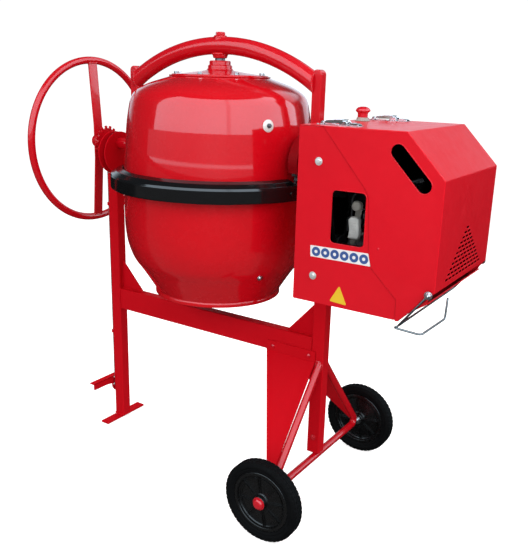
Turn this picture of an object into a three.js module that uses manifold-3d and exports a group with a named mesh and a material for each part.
// Tilting-drum concrete mixer: a welded frame on two wheels and a foot plate,
// a tilting yoke with a geared drum, and an engine under a hinged hood.
// Millimetres, +Z up, +X (right) towards the engine, -Y (front) towards the foot pedal.
// The drum turns about the Z axis; the yoke tilts about a trunnion axis along X.
import * as THREE from 'three';
import { mergeVertices } from 'three/addons/utils/BufferGeometryUtils.js';
import Module from 'manifold-3d';

const wasm = await Module();
wasm.setup();
const { Manifold, Mesh: ManifoldMesh } = wasm;

const root = new THREE.Group();

// ---------- main sizes ----------
const TRUNNION_Z = 1290;
const CRANK_Z = 1010;
const AXLE_X = 496;
const AXLE_Z = 150;
const AXLE_R = 10;
const HINGE_X = 977;           // hood hinge axis, along Y
const HINGE_Z = 969;
const LEG_HALF = 22.5;         // half the depth of legs and beam along Y
const LEG_WALL = 3;
const LEFT_LEG_INNER = -537;   // X of the leg faces that look at the drum
const RIGHT_LEG_INNER = 461;
const WELD_GAP = 0.3;          // space left between welded neighbours
const LEFT_STUB_R = 24;        // trunnion stubs of the yoke
const RIGHT_STUB_R = 36;
const GRIP_STUB_R = 12.7;      // thin left end that carries the hand wheel
const SHAFT_R = 15;            // drive shaft inside the right stub
const CRANK_R = 10;
const CLEARANCE = 0.3;         // bore radius minus shaft radius
const BEARING_CLEARANCE = 0.4;
const LEFT_BORE = LEFT_STUB_R + BEARING_CLEARANCE;
const RIGHT_BORE = RIGHT_STUB_R + BEARING_CLEARANCE;
const SHAFT_BORE = SHAFT_R + CLEARANCE;
const LOCK_ROD_Y = -8;
const DEG = Math.PI / 180;

// ---------- materials ----------
const standard = (settings) => new THREE.MeshStandardMaterial(settings);
const RED = standard({ color: 0xc4101c, roughness: 0.28, metalness: 0 });
const HOOD_RED = standard({ color: 0xb80d19, roughness: 0.32, metalness: 0 });
const BLACK = standard({ color: 0x16181a, roughness: 0.45, metalness: 0 });
const TYRE = standard({ color: 0x1b1b1b, roughness: 0.85, metalness: 0 });
const STEEL = standard({ color: 0x9a9c9e, roughness: 0.4, metalness: 1 });
const CHROME = standard({ color: 0xd0d2d4, roughness: 0.15, metalness: 1 });
const IRON = standard({ color: 0x3a3c3e, roughness: 0.6, metalness: 0.8 });
const ALUMINIUM = standard({ color: 0xa8aaac, roughness: 0.5, metalness: 1 });
const GREY = standard({ color: 0xb9b7b0, roughness: 0.5, metalness: 0 });
const RUBBER = standard({ color: 0x141414, roughness: 0.8, metalness: 0 });

// ---------- solids and meshes ----------
const X_AXIS = new THREE.Vector3(1, 0, 0);
const Y_AXIS = new THREE.Vector3(0, 1, 0);
const Z_AXIS = new THREE.Vector3(0, 0, 1);

// Welds a closed three.js geometry into a solid, turned outside out if need be.
function toSolid(source) {
  let geometry = source.clone();
  for (const key of Object.keys(geometry.attributes)) {
    if (key !== 'position') geometry.deleteAttribute(key);
  }
  geometry = mergeVertices(geometry, 1e-3);
  const positions = geometry.attributes.position.array;
  const index = geometry.index.array;
  const corner = (i) => new THREE.Vector3().fromArray(positions, 3 * i);
  const triangles = [];
  let volume = 0;
  for (let i = 0; i < index.length; i += 3) {
    const [a, b, c] = index.slice(i, i + 3);
    if (a === b || b === c || a === c) continue;
    triangles.push(a, b, c);
    volume += corner(a).dot(corner(b).cross(corner(c)));
  }
  if (volume < 0) {
    for (let i = 0; i < triangles.length; i += 3) {
      [triangles[i + 1], triangles[i + 2]] = [triangles[i + 2], triangles[i + 1]];
    }
  }
  return new Manifold(new ManifoldMesh({
    numProp: 3,
    vertProperties: new Float32Array(positions),
    triVerts: new Uint32Array(triangles),
  }));
}

function piece(name, solid, material) {
  const data = solid.getMesh();
  const geometry = new THREE.BufferGeometry();
  const positions = new Float32Array(data.vertProperties);
  geometry.setAttribute('position', new THREE.BufferAttribute(positions, 3));
  geometry.setIndex(new THREE.BufferAttribute(new Uint32Array(data.triVerts), 1));
  geometry.computeVertexNormals();
  const mesh = new THREE.Mesh(geometry, material);
  mesh.name = name;
  root.add(mesh);
}

const join = (...parts) => parts.reduce((a, b) => a.add(b));
const cut = (body, ...tools) => tools.reduce((a, b) => a.subtract(b), body);

// ---------- outlines ----------
// n + 1 points from angle a0 to a1, both ends included
const arc = (u, v, r, a0, a1, n) => Array.from({ length: n + 1 }, (_, i) => {
  const a = a0 + ((a1 - a0) * i) / n;
  return [u + r * Math.cos(a), v + r * Math.sin(a)];
});
const circle = (u, v, r, n) => arc(u, v, r, 0, 2 * Math.PI, n).slice(0, n);
const arcBand = (u, v, rInner, rOuter, a0, a1, n) =>
  [...arc(u, v, rOuter, a0, a1, n), ...arc(u, v, rInner, a1, a0, n)];
const vectors = (points) => points.map(([u, v]) => new THREE.Vector2(u, v));

// ---------- basic shapes ----------
function box(x0, x1, y0, y1, z0, z1) {
  const g = new THREE.BoxGeometry(x1 - x0, y1 - y0, z1 - z0);
  return toSolid(g.translate((x0 + x1) / 2, (y0 + y1) / 2, (z0 + z1) / 2));
}

// (u, v) are the two other coordinates of the axis, in x, y, z order
function cylinder(axis, a0, a1, u, v, r, segments) {
  const g = new THREE.CylinderGeometry(r, r, a1 - a0, segments);
  const middle = (a0 + a1) / 2;
  if (axis === 'x') g.rotateZ(-Math.PI / 2).translate(middle, u, v);
  if (axis === 'y') g.translate(u, middle, v);
  if (axis === 'z') g.rotateX(Math.PI / 2).translate(u, v, middle);
  return toSolid(g);
}
const trunnionCyl = (x0, x1, r, n) => cylinder('x', x0, x1, 0, TRUNNION_Z, r, n);
const crankCyl = (x0, x1, r, n) => cylinder('x', x0, x1, 0, CRANK_Z, r, n);
const axleCyl = (y0, y1, r, n) => cylinder('y', y0, y1, AXLE_X, AXLE_Z, r, n);
const hingeCyl = (y0, y1, r, n) => cylinder('y', y0, y1, HINGE_X, HINGE_Z, r, n);
const drumCyl = (z0, z1, r, n) => cylinder('z', z0, z1, 0, 0, r, n);

// profile: [radius, height along the axis]; closed unless both ends lie on the axis
function lathe(profile, axis, segments, at = [0, 0, 0]) {
  const points = vectors(profile);
  if (profile[0][0] !== 0 || profile.at(-1)[0] !== 0) points.push(points[0].clone());
  const g = new THREE.LatheGeometry(points, segments);
  if (axis === 'z') g.rotateX(Math.PI / 2);
  if (axis === 'x') g.rotateZ(-Math.PI / 2);
  return toSolid(g.translate(...at));
}

function extrude(points, depth, holes = []) {
  const shape = new THREE.Shape(vectors(points));
  for (const hole of holes) shape.holes.push(new THREE.Path(vectors(hole)));
  return new THREE.ExtrudeGeometry(shape, { depth, bevelEnabled: false });
}
const place = (geometry, xDir, yDir, zDir, origin) => toSolid(geometry
  .applyMatrix4(new THREE.Matrix4().makeBasis(xDir, yDir, zDir))
  .translate(...origin));

// outline in XZ, thickness along Y
const plateY = (points, y0, y1, holes) =>
  toSolid(extrude(points, y1 - y0, holes).rotateX(Math.PI / 2).translate(0, y1, 0));
// outline in YZ, thickness along X
const plateX = (points, x0, x1, holes) =>
  place(extrude(points, x1 - x0, holes), Y_AXIS, Z_AXIS, X_AXIS, [x0, 0, 0]);
// outline in XY, thickness along Z
const plateZ = (points, z0, z1) => toSolid(extrude(points, z1 - z0).translate(0, 0, z0));

const sweep = (extrudePath, r, { steps, segments }) => toSolid(new THREE.ExtrudeGeometry(
  new THREE.Shape(vectors(circle(0, 0, r, segments))),
  { steps, extrudePath, bevelEnabled: false },
));

// round bar along a polyline; bend is the length taken off each side of a corner
function bentBar(stations, r, { bend, ...detail }) {
  const P = stations.map((p) => new THREE.Vector3(...p));
  const path = new THREE.CurvePath();
  let from = P[0];
  for (let i = 1; i < P.length - 1; i++) {
    const before = P[i].clone().sub(P[i - 1]).normalize();
    const after = P[i + 1].clone().sub(P[i]).normalize();
    const start = P[i].clone().addScaledVector(before, -bend);
    const end = P[i].clone().addScaledVector(after, bend);
    path.add(new THREE.LineCurve3(from, start));
    path.add(new THREE.QuadraticBezierCurve3(start, P[i], end));
    from = end;
  }
  path.add(new THREE.LineCurve3(from, P.at(-1)));
  return sweep(path, r, detail);
}

function rod(from, to, r, segments) {
  const start = new THREE.Vector3(...from);
  const end = new THREE.Vector3(...to);
  const along = end.clone().sub(start);
  const g = new THREE.CylinderGeometry(r, r, along.length(), segments);
  g.applyQuaternion(new THREE.Quaternion().setFromUnitVectors(Y_AXIS, along.normalize()));
  return toSolid(g.translate(...start.add(end).multiplyScalar(0.5).toArray()));
}
const ball = (centre, r) => toSolid(new THREE.SphereGeometry(r, 8, 6).translate(...centre));

// Y range between two distances from the middle, on the front (-1) or rear (1) side
const ySpan = (side, near, far) => (side < 0 ? [-far, -near] : [near, far]);

// ---------- frame ----------
const BEAM_BOTTOM = 547;
const BEAM_TOP = 641;
const BEAM_X0 = LEFT_LEG_INNER + WELD_GAP;
const BEAM_X1 = RIGHT_LEG_INNER - WELD_GAP;
const GUSSET_Z = BEAM_TOP + WELD_GAP;
const CORE_HALF = LEG_HALF - LEG_WALL;

const legTube = (x0, x1, z0, z1) => cut(
  box(x0, x1, -LEG_HALF, LEG_HALF, z0, z1),
  box(x0 + LEG_WALL, x1 - LEG_WALL, -CORE_HALF, CORE_HALF, z0 - 1, z1 + 1),
);
piece('left_leg', legTube(-591, LEFT_LEG_INNER, 8.2, 1158), RED);
piece('left_foot_plate', box(-586, -542, -121, 121, 0, 8), RED);

// two round cheeks with the bearing between them
const cheekOutline = circle(0, 1248, 90, 40);
const leftBore = trunnionCyl(-580, -520, LEFT_BORE, 32);
piece('left_head', cut(join(
  plateX(cheekOutline, -572, -566),
  plateX(cheekOutline, LEFT_LEG_INNER, -531),
  box(-567, -536, -LEG_HALF, LEG_HALF, 1158.3, 1238),
), leftBore), RED);
piece('left_bearing', cut(trunnionCyl(-565.6, -537.4, 40, 32), leftBore), STEEL);

piece('right_leg', legTube(RIGHT_LEG_INNER, 514, 164.6, 1214.5), RED);
piece('right_bearing', cut(
  join(trunnionCyl(463, 512, 58, 32), box(463, 512, -40, 40, 1214.9, TRUNNION_Z)),
  trunnionCyl(450, 520, RIGHT_BORE, 32),
), RED);

piece('cross_beam', cut(
  box(BEAM_X0, BEAM_X1, -LEG_HALF, LEG_HALF, BEAM_BOTTOM, BEAM_TOP),
  box(-540, 470, -CORE_HALF, CORE_HALF, BEAM_BOTTOM + LEG_WALL, BEAM_TOP - LEG_WALL),
), RED);
const gusset = (points) => plateY(points, -3, 3);
piece('left_gusset', gusset([[BEAM_X0, GUSSET_Z], [-410, GUSSET_Z], [BEAM_X0, 775]]), RED);
piece('right_gusset', gusset([[BEAM_X1, GUSSET_Z], [BEAM_X1, 774], [341, GUSSET_Z]]), RED);

// axle carrier: each half slopes from the leg out to the wheel and returns along the axle
const carrierStations = (y) => [[AXLE_X, 0, 560], [AXLE_X, y, AXLE_Z], [AXLE_X, 0, AXLE_Z]];
const carrierBend = { bend: 34, steps: 14, segments: 10 };
piece('axle_tube', cut(
  join(
    bentBar(carrierStations(-345), 14, carrierBend),
    bentBar(carrierStations(345).reverse(), 14, carrierBend),
    axleCyl(-20, 20, 13.4, 10),
  ),
  box(AXLE_X - 40, AXLE_X + 40, -LEG_HALF - 0.4, LEG_HALF + 0.4, 164.5, 700),
  axleCyl(-400, 400, AXLE_R + CLEARANCE, 16),
), RED);
piece('axle_rod', axleCyl(-411.6, 411.6, AXLE_R, 20), STEEL);

// front slanted plate from the beam and the leg out to the bend of the axle tube
function frontBrace() {
  const x0 = 262;
  const x1 = 480;
  const yTop = -LEG_HALF - 3.3;
  const corners = [
    [x0, yTop, BEAM_BOTTOM], [x1, yTop, BEAM_BOTTOM], [x1, -322, 176], [474, -330, 166],
  ];
  const [origin, topEnd, low] = corners.map((p) => new THREE.Vector3(...p));
  const normal = topEnd.sub(origin).cross(low.sub(origin)).normalize();
  const slope = normal.clone().cross(X_AXIS).normalize();
  const outline = corners.map((p) => {
    const v = new THREE.Vector3(...p).sub(origin);
    return [v.dot(X_AXIS), v.dot(slope)];
  });
  return join(
    place(extrude(outline, 3), X_AXIS, slope, normal, origin.toArray()),
    box(x0, x1, -LEG_HALF - 4.6, -LEG_HALF - 0.4, 546, 588),
  );
}
piece('brace_front', frontBrace(), RED);
piece('brace_rear', frontBrace().mirror([0, 1, 0]), RED);

// ---------- wheels ----------
const WHEEL_Y = 384.7;
const CAP_Y = 412.2;
const RIBS = 8;
// [radius, offset along the axle]
const TYRE_PROFILE = [
  [112, -20], [130, -24], [142, -22], [148, -17], [150, -8],
  [150, 8], [148, 17], [142, 22], [130, 24], [112, 20],
];
// the same, negative offsets facing outwards
const DISC_PROFILE = [
  [10.4, -27], [24, -27], [27, -12], [96, -7], [98, -19], [111.5, -19],
  [111.5, 19], [98, 19], [96, 7], [27, 12], [24, 25], [10.4, 25],
];
// the same, positive offsets facing outwards
const CAP_PROFILE = [[0, 14], [12, 14], [19, 10], [21, 4], [21, 0], [0, 0]];
const scaleOffsets = (profile, factor) => profile.map(([r, h]) => [r, h * factor]);

function wheel(side, tag) {
  const centre = [AXLE_X, side * WHEEL_Y, AXLE_Z];
  piece(`${tag}_tyre`, lathe(TYRE_PROFILE, 'y', 40, centre), TYRE);
  let body = lathe(scaleOffsets(DISC_PROFILE, -side), 'y', 28, centre);
  for (let i = 0; i < RIBS; i++) {
    const rib = new THREE.BoxGeometry(76, 26, 12).translate(61, 0, 0);
    rib.rotateY((i * 2 * Math.PI) / RIBS + 0.35).translate(...centre);
    body = body.add(toSolid(rib));
  }
  piece(`${tag}_wheel`, body, BLACK);
}
function wheelCap(side, tag) {
  const profile = scaleOffsets(CAP_PROFILE, side);
  piece(`${tag}_cap`, lathe(profile, 'y', 24, [AXLE_X, side * CAP_Y, AXLE_Z]), RED);
}
wheel(-1, 'front');
wheel(1, 'rear');
wheelCap(-1, 'front');
wheelCap(1, 'rear');

// ---------- yoke ----------
const BAR_X = 427;
const BAR_HALF = 18;
const HUB_TIP_R = 14;

// upright bar with a rounded top
const sideBar = (x) => plateY([
  [x - BAR_HALF, 1150], [x + BAR_HALF, 1150],
  ...arc(x, 1590, BAR_HALF, 0, Math.PI, 12),
], -BAR_HALF, BAR_HALF);
// strap behind the guard ends, curved round the drum axis
const strap = (middle, half, n) =>
  plateZ(arcBand(0, 0, 408, 411.6, middle - half, middle + half, n), 1172, 1207);
piece('left_side_bar', join(
  sideBar(-BAR_X),
  trunnionCyl(-628, -436, LEFT_STUB_R, 32),
  trunnionCyl(-690, -620, GRIP_STUB_R, 24),
  strap(Math.PI, 0.52, 12),
), RED);

// shallow open-bottomed cover round the pinion: a rim and an end wall
const coverArc = (rInner, rOuter, x0, x1) =>
  plateX(arcBand(0, TRUNNION_Z, rInner, rOuter, -20 * DEG, 200 * DEG, 20), x0, x1);
piece('right_side_bar', cut(
  join(
    sideBar(BAR_X),
    trunnionCyl(440, 521.5, RIGHT_STUB_R, 32),
    trunnionCyl(420, 450, 44, 32),
    strap(0, 0.3, 8),
    coverArc(95, 98, 372, 409.4),
    coverArc(40, 97, 405.6, 409.4),
  ),
  trunnionCyl(380, 540, SHAFT_BORE, 24),
), RED);

// arch over the drum, its centreline a circular arc sampled at 29 stations
const ARCH_TOP = 1686.5;
const ARCH_RADIUS = 748.5;
const archPath = [];
for (let i = -14; i <= 14; i++) {
  const x = (i * 440) / 14;
  const z = ARCH_TOP - (ARCH_RADIUS - Math.sqrt(ARCH_RADIUS ** 2 - x * x));
  archPath.push(new THREE.Vector3(x, 0, z));
}
const archBar = sweep(new THREE.CatmullRomCurve3(archPath), 31.5, { steps: 18, segments: 16 });
const archBore = drumCyl(1600, 1760, HUB_TIP_R + CLEARANCE, 20);
piece('arch_tube', cut(
  archBar,
  box(408.6, 600, -60, 60, 1400, 1760),
  box(-600, -408.6, -60, 60, 1400, 1760),
  archBore,
), RED);

piece('hub_shaft', cut(
  join(drumCyl(1540, 1656, 19, 28), drumCyl(1650, 1734, HUB_TIP_R, 20)),
  cut(archBar, archBore),
), STEEL);
piece('hub_nut', cut(drumCyl(1718.6, 1732, 19, 6), drumCyl(1700, 1760, 14.2, 20)), STEEL);

// ring guard: two arcs that narrow to the outer band next to the side bars; [radius, z]
const BAND_OUTER = [[404, 1161], [414, 1161], [417, 1166], [417, 1209], [413.5, 1215]];
const GUARD_LIP = [[395, 1227.3], [371, 1234.5], [371, 1230.5], [393.5, 1223.6]];
const BAND_INNER = [[410.8, 1212], [413, 1207.6], [413, 1165], [404, 1165]];
const BAND_PROFILE = [...BAND_OUTER, ...BAND_INNER];
const GUARD_PROFILE = [...BAND_OUTER, ...GUARD_LIP, ...BAND_INNER];

function ringSector(profile, fromDeg, toDeg) {
  const wedge = [[0, 0], ...arc(0, 0, 700, fromDeg * DEG, toDeg * DEG, 12)];
  return lathe(profile, 'z', 56).intersect(plateZ(wedge, 900, 1800));
}
piece('guard_front', join(
  ringSector(GUARD_PROFILE, 205, 347.5),
  ringSector(BAND_PROFILE, 347, 355.5),
), BLACK);
piece('guard_rear', join(
  ringSector(GUARD_PROFILE, 12.5, 155),
  ringSector(BAND_PROFILE, 4.5, 13),
), BLACK);

// lock disc, with one notch over the lock rod at rest
const NOTCHES = 16;
const DISC_R = 68;
const NOTCH_HALF = 7 / DISC_R; // half the angle of a notch
// [angle from the notch middle, radius]
const NOTCH = [
  [-NOTCH_HALF, DISC_R], [-NOTCH_HALF, 61], [-NOTCH_HALF * 0.75, 57.8], [0, 56.4],
  [NOTCH_HALF * 0.75, 57.8], [NOTCH_HALF, 61], [NOTCH_HALF, DISC_R], [Math.PI / NOTCHES, 68.4],
];
const discOutline = [];
for (let i = 0; i < NOTCHES; i++) {
  const middle = -Math.PI / 2 + LOCK_ROD_Y / DISC_R + (i * 2 * Math.PI) / NOTCHES;
  for (const [offset, r] of NOTCH) {
    const a = middle + offset;
    discOutline.push([r * Math.cos(a), TRUNNION_Z + r * Math.sin(a)]);
  }
}
piece('notch_disc', plateX(discOutline, -611, -605, [circle(0, TRUNNION_Z, LEFT_BORE, 32)]), RED);

// hand wheel: rim, one dished flat spoke, hub
const SPOKE = [ // [x, height above the trunnion axis]
  [-686, 331], [-666, 70], [-666, -70], [-686, -331],
  [-678, -331], [-658, -70], [-658, 70], [-678, 331],
];
const rim = new THREE.TorusGeometry(336.8, 15, 8, 44).rotateY(Math.PI / 2);
piece('hand_wheel', cut(
  join(
    toSolid(rim.translate(-688.6, 0, TRUNNION_Z)),
    plateY(SPOKE.map(([x, dz]) => [x, TRUNNION_Z + dz]), -23, 23),
    trunnionCyl(-676, -630, 26, 24),
  ),
  trunnionCyl(-700, -600, GRIP_STUB_R + CLEARANCE, 24),
), RED);

// ---------- drum ----------
// profiles: [radius, z], outer skin then inner skin
const BOWL_PROFILE = [
  [388, 1185.3], [388, 1189.3], [367.2, 1189.3], [366.8, 1216], [356, 1337], [349.5, 1410],
  [341, 1462], [334, 1490], [322, 1511], [300, 1529], [262, 1548], [190, 1573], [187, 1578],
  [20.4, 1578],
  [20.4, 1574], [185, 1574], [188, 1569], [260, 1544], [298, 1525], [319, 1508], [330, 1488.5],
  [337, 1461], [345.5, 1409], [352, 1336.6], [362.6, 1215.6], [363, 1185.3],
];
const CONE_PROFILE = [
  [388, 1185], [388, 1181], [367.2, 1181], [367, 1089], [365.5, 1022], [360, 969], [351, 929],
  [332, 885], [302, 842], [274, 799], [249, 757], [251, 753], [251, 744], [247, 741], [242, 741],
  [242, 744], [246, 757], [270.5, 801], [298.5, 844], [328.2, 887], [347, 930.5], [356, 969.6],
  [361.5, 1022.2], [363, 1089], [363, 1185],
];
piece('drum_bowl', lathe(BOWL_PROFILE, 'z', 40), RED);
piece('drum_cone', lathe(CONE_PROFILE, 'z', 40), RED);

// crown gear, teeth facing up; a gap sits over +X at rest
const CROWN_TEETH = 96;
const CROWN_RING = [[369, 1189.7], [392, 1189.7], [392, 1203], [369, 1203]]; // [radius, z]
const CROWN_TOOTH = [[-7.6, 1202], [7.6, 1202], [3, 1221], [-3, 1221]]; // [tangential, z]
function crownTooth(i) {
  const a = ((i + 0.5) * 2 * Math.PI) / CROWN_TEETH;
  const outward = new THREE.Vector3(Math.cos(a), Math.sin(a), 0);
  const tangent = Z_AXIS.clone().cross(outward);
  const foot = outward.clone().multiplyScalar(370.5).toArray();
  return place(extrude(CROWN_TOOTH, 21), tangent, Z_AXIS, outward, foot);
}
piece('crown_gear', Manifold.union([
  lathe(CROWN_RING, 'z', 96),
  ...Array.from({ length: CROWN_TEETH }, (_, i) => crownTooth(i)),
]), IRON);

const FLANGE_PROFILE = [ // [radius, z]
  [19.4, 1578.4], [150, 1578.4], [150, 1581.5], [72, 1594], [45, 1601], [45, 1615],
  [39, 1616], [39, 1632], [19.4, 1632],
];
piece('hub_flange', lathe(FLANGE_PROFILE, 'z', 36), RED);

const BLADE_OUTLINE = [ // [radius, z]
  [359, 1150], [354, 1262], [348, 1337], [341, 1410], [331, 1468], [240, 1490], [232, 1300],
  [236, 1100], [252, 960], [292, 892], [321, 896], [350, 968], [356.5, 1022], [359, 1090],
];
const blade = (degrees) => toSolid(extrude(BLADE_OUTLINE, 6)
  .rotateX(Math.PI / 2).translate(0, 3, 0).rotateZ(degrees * DEG));
piece('blade_a', blade(-24.6), STEEL);
piece('blade_b', blade(155.4), STEEL);

// ---------- drive ----------
piece('drive_shaft', trunnionCyl(371, 556, SHAFT_R, 24), STEEL);

// involute pinion, one tooth straight down at rest
function pinionOutline() {
  const teeth = 19;
  const gearModule = 8;
  const pressureAngle = 20 * DEG;
  const toothThickness = 10.2; // along the pitch circle
  const rootR = 66;
  const flankRadii = [72, 76.5, 82.5];
  const pitchR = (gearModule * teeth) / 2;
  const baseR = pitchR * Math.cos(pressureAngle);
  const involute = (t) => Math.tan(t) - t;
  const halfAngle = (r) => toothThickness / (2 * pitchR)
    + involute(pressureAngle) - involute(Math.acos(baseR / r));
  const rootHalf = halfAngle(flankRadii[0]) + 0.012;
  const rising = [[-rootHalf, rootR], ...flankRadii.map((r) => [-halfAngle(r), r])];
  const falling = rising.map(([offset, r]) => [-offset, r]).reverse();
  const outline = [];
  for (let i = 0; i < teeth; i++) {
    const middle = -Math.PI / 2 + (i * 2 * Math.PI) / teeth;
    for (const [offset, r] of [...rising, ...falling]) {
      const a = middle + offset;
      outline.push([r * Math.cos(a), TRUNNION_Z + r * Math.sin(a)]);
    }
  }
  return outline;
}
piece('pinion', plateX(pinionOutline(), 373, 393, [circle(0, TRUNNION_Z, SHAFT_BORE, 24)]), IRON);

const PULLEY_X = 540;
const LARGE_R = 110;
const SMALL_R = 36;
const GROOVE_DEPTH = 10;
const BELT_THICKNESS = 8;
const BELT_HALF = 6;
function pulley(r, bore, z) {
  const grooveR = r - GROOVE_DEPTH;
  return lathe([
    [bore, -12], [r, -12], [r, -7], [grooveR, -7], [grooveR, 7], [r, 7], [r, 12], [bore, 12],
  ], 'x', 28, [PULLEY_X, 0, z]);
}
piece('large_pulley', pulley(LARGE_R, SHAFT_BORE, TRUNNION_Z), IRON);
piece('crankshaft', crankCyl(526, 660, CRANK_R, 20), STEEL);
piece('small_pulley', pulley(SMALL_R, CRANK_R + CLEARANCE, CRANK_Z), IRON);

// outline of a belt round both pulleys, inset from their rims
function beltLoop(inset) {
  const wrap = Math.asin((LARGE_R - SMALL_R) / (TRUNNION_Z - CRANK_Z));
  return [
    ...arc(0, TRUNNION_Z, LARGE_R - inset, -wrap, Math.PI + wrap, 16),
    ...arc(0, CRANK_Z, SMALL_R - inset, Math.PI + wrap, 2 * Math.PI - wrap, 10),
  ];
}
piece('drive_belt', plateX(
  beltLoop(0), PULLEY_X - BELT_HALF, PULLEY_X + BELT_HALF, [beltLoop(BELT_THICKNESS)],
), RUBBER);

// ---------- engine ----------
const fins = [];
for (let i = 0; i < 6; i++) fins.push(box(622, 762, -34, 94, 1082 + i * 12, 1087 + i * 12));
piece('engine_block', cut(
  join(box(600, 780, -90, 100, 872.4, 1082), box(640, 744, -18, 78, 1080, 1158), ...fins),
  crankCyl(590, 661, CRANK_R + BEARING_CLEARANCE, 20),
), ALUMINIUM);
const TANK_OUTLINE = [ // [y, z]
  [-62, 1160.4], [112, 1160.4], [120, 1170], [120, 1250],
  [104, 1266], [-54, 1266], [-70, 1250], [-70, 1170],
];
piece('fuel_tank', plateX(TANK_OUTLINE, 590, 800), BLACK);
const MUFFLER_OUTLINE = [ // [y, z]
  [100.6, 960], [166, 960], [176, 972], [176, 1060], [166, 1072], [100.6, 1072],
];
piece('muffler', plateX(MUFFLER_OUTLINE, 610, 770), IRON);
piece('air_filter', box(600, 690, -176, -90.6, 890, 1010), BLACK);
piece('recoil_cover', cut(crankCyl(780.5, 838, 100, 32), crankCyl(836, 850, 60, 24)), BLACK);
// pivot, arm, knob
piece('throttle_lever', join(
  cylinder('y', -132, -90.8, 655, 1060, 8, 16),
  plateY([[647, 1056], [663, 1056], [682, 1180], [664, 1186]], -132, -127),
  cylinder('y', -158, -127, 672, 1185, 17, 20),
), GREY);
const GRIP_OUTLINE = [ // [x, z]
  [664, 1084], [700, 1084], [704, 1094], [700, 1150], [692, 1156], [672, 1156], [664, 1146],
];
piece('starter_grip', join(
  plateY(GRIP_OUTLINE, -192, -170),
  cylinder('y', -172, -91, 692, 1094, 4, 12),
), ALUMINIUM);

// ---------- engine base and hood; outlines are [x, z] ----------
const PIN_R = 5;
const PIN_BORE = PIN_R + BEARING_CLEARANCE;
const LATCH_Y = 190;
const BASE_HALF = 249.2;

// bent sheet with a hinge ear and a headed pin on each side
const BASE_SHEET = [
  [515, 868], [876, 868], [976, 940], [973.6, 943.4],
  [874.7, 872], [519, 872], [519, 1436], [515, 1436],
];
const EAR = [
  [940, 915], [966, 932], [974, 950], [983, 962.5], [986, 972], [977, 979], [967, 974], [930, 922],
];
const hingeEnd = (side) => join(
  hingeCyl(...ySpan(side, 246, 263), PIN_R, 16),
  hingeCyl(...ySpan(side, 262.4, 268), 9, 16),
  plateY(EAR, ...ySpan(side, 245, BASE_HALF)),
);
piece('engine_base', cut(
  join(plateY(BASE_SHEET, -BASE_HALF, BASE_HALF), hingeEnd(-1), hingeEnd(1)),
  trunnionCyl(505, 530, 46, 32),
), RED);

const PANEL = [
  [505, 866], [868, 866], [880, 870], [884, 936], [793, 1024], [782, 1078],
  [770, 1240], [757, 1266], [606, 1436.5], [505, 1436.5],
];
const PANEL_WINDOW = [
  [648, 1076], [738, 1076], [752, 1090], [751, 1233],
  [737, 1247], [647, 1247], [633, 1233], [633.5, 1090],
];
piece('side_panel_front', plateY(PANEL, ...ySpan(-1, 249.6, 251.6), [PANEL_WINDOW]), RED);
piece('side_panel_rear', plateY(PANEL, ...ySpan(1, 249.6, 251.6)), RED);
piece('top_strip', box(505, 588, -249, 249, 1436.9, 1439.4), RED);

const HOOD_OUTLINE = [
  [589, 1440], [867, 1440], [993, 1309], [993, 975], [884, 864], [874, 864], [872, 932],
  [781, 1018], [770, 1074], [758, 1235], [746, 1258], [592, 1434], [589, 1436],
];
const HOOD_CAVITY = [[560, 1438], [866.1, 1438], [991, 1308.2], [991, 850], [560, 850]];

// round-ended slot along the slanted top corner of the hood sides
function hoodSlot() {
  const upper = [843, 1380];
  const lower = [931, 1289];
  const r = 24;
  const tilt = Math.atan2(lower[1] - upper[1], lower[0] - upper[0]);
  const quarter = Math.PI / 2;
  return plateY([
    ...arc(...lower, r, tilt - quarter, tilt + quarter, 10),
    ...arc(...upper, r, tilt + quarter, tilt + 3 * quarter, 10),
  ], -260, 260);
}
function hood() {
  let body = cut(
    plateY(HOOD_OUTLINE, -254, 254),
    plateY(HOOD_CAVITY, -252, 252),
    hoodSlot(),
    hingeCyl(-260, 260, PIN_BORE, 16),
  );
  // slots in the +X wall, widening downwards
  for (let i = 0; i < 11; i++) {
    const half = 16 + i * 15.5;
    const drop = i * 14;
    body = cut(body, box(985, 1000, -half - 4, half - 4, 1133 - drop, 1138.5 - drop));
  }
  // pairs of lugs on top, one pair per latch
  for (const y of [-LATCH_Y, LATCH_Y]) {
    body = join(
      body,
      box(622, 646, y - 17, y - 14, 1439, 1458),
      box(622, 646, y + 14, y + 17, 1439, 1458),
    );
  }
  return body;
}
piece('hood', hood(), HOOD_RED);

const LATCH_OUTLINE = [
  [566, 1449], [600, 1454], [634, 1455.5], [634, 1451.5], [600, 1450], [568, 1445.5],
];
const latch = (y) => join(
  plateY(LATCH_OUTLINE, y - 12, y + 12),
  cylinder('y', y - 13.2, y + 13.2, 634, 1451.6, 4.5, 14),
);
piece('latch_front', latch(-LATCH_Y), CHROME);
piece('latch_rear', latch(LATCH_Y), CHROME);

const STOP_X = 560;
const STOP_Y = 84;
const BUTTON_PROFILE = [ // [radius, z]
  [0, 1447], [17, 1447], [16.5, 1466], [21, 1470], [22.5, 1476], [20, 1484], [10, 1488], [0, 1489],
];
piece('estop_base', cut(
  cylinder('z', 1439.8, 1449, STOP_X, STOP_Y, 21, 28),
  cylinder('z', 1430, 1460, STOP_X, STOP_Y, 17.6, 28),
), GREY);
piece('estop_button', lathe(BUTTON_PROFILE, 'z', 28, [STOP_X, STOP_Y, 0]), RED);

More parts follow.
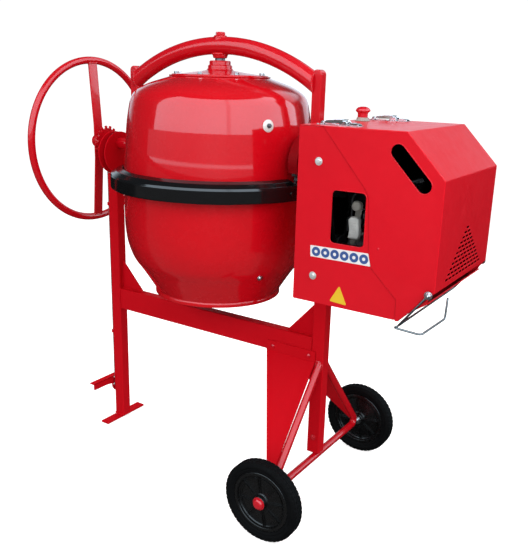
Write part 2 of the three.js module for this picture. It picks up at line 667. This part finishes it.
// wire bail: an eye on each hinge pin, two arms, a cross wire and a bent hook
function wireBail() {
  const wireR = 3;
  const corner = (side) => [888, side * 258.2, 852];
  const eye = (side) => cut(
    hingeCyl(...ySpan(side, 255, 261.5), 9.5, 18),
    hingeCyl(...ySpan(side, 240, 280), PIN_BORE, 16),
  );
  const arm = (side) =>
    rod([HINGE_X - 5.2, side * 258.2, HINGE_Z - 6.6], corner(side), wireR, 8);
  const hook = [[888, -257, 851], [874, -257, 844], [962, -252, 838], [969, -60, 838], [969, -52, 908]];
  return join(
    eye(-1), eye(1), arm(-1), arm(1),
    ball(corner(-1), 3.05), ball(corner(1), 3.05),
    rod(corner(-1), corner(1), wireR, 8),
    bentBar(hook, wireR, { bend: 6, steps: 22, segments: 8 }),
  );
}
piece('wire_bail', wireBail(), STEEL);

// ---------- pedal lock ----------
const PEDAL_Y = 16;            // pedal pin axis, along X
const PEDAL_Z = 150;
const PEDAL_PIN_R = 6;
const LOCK_ROD_X = -599.6;
const pedalCyl = (x0, x1, r) => cylinder('x', x0, x1, PEDAL_Y, PEDAL_Z, r, 18);
piece('pedal_pin', join(
  pedalCyl(-613, -591.3, PEDAL_PIN_R),
  pedalCyl(-618, -612.5, 11),
), STEEL);
const PEDAL_WEB = [ // [y, z]
  [-138, 164], [-134, 160], [-60, 160], [PEDAL_Y, PEDAL_Z], [PEDAL_Y, 190], [-138, 190],
];
piece('pedal', cut(
  join(
    plateX(circle(PEDAL_Y, PEDAL_Z, 40, 36), -609.4, -606.2),
    plateX(PEDAL_WEB, -609.4, -606.2),
    box(-637, -606.2, -138, 20, 187, 190),
  ),
  pedalCyl(-620, -600, PEDAL_PIN_R + CLEARANCE),
  box(-615, -600, LOCK_ROD_Y - 7.5, LOCK_ROD_Y + 7.5, 145.5, 154.5),
), RED);
// upright rod with a short arm towards -X at the notch disc and another at the pedal
const lockArm = (z, xEnd, r, n) =>
  rod([LOCK_ROD_X, LOCK_ROD_Y, z], [xEnd, LOCK_ROD_Y, z], r, n);
piece('lock_rod', join(
  cylinder('z', 140, 1222, LOCK_ROD_X, LOCK_ROD_Y, 5, 14),
  lockArm(1216.2, -613, 4.5, 14),
  lockArm(PEDAL_Z, -612.5, 3, 12),
), STEEL);

// ---------- place the whole on its own base centre ----------
const bounds = new THREE.Box3().setFromObject(root);
const middle = bounds.getCenter(new THREE.Vector3());
root.position.set(-middle.x, -middle.y, -bounds.min.z);
root.updateMatrixWorld(true);

export default root;
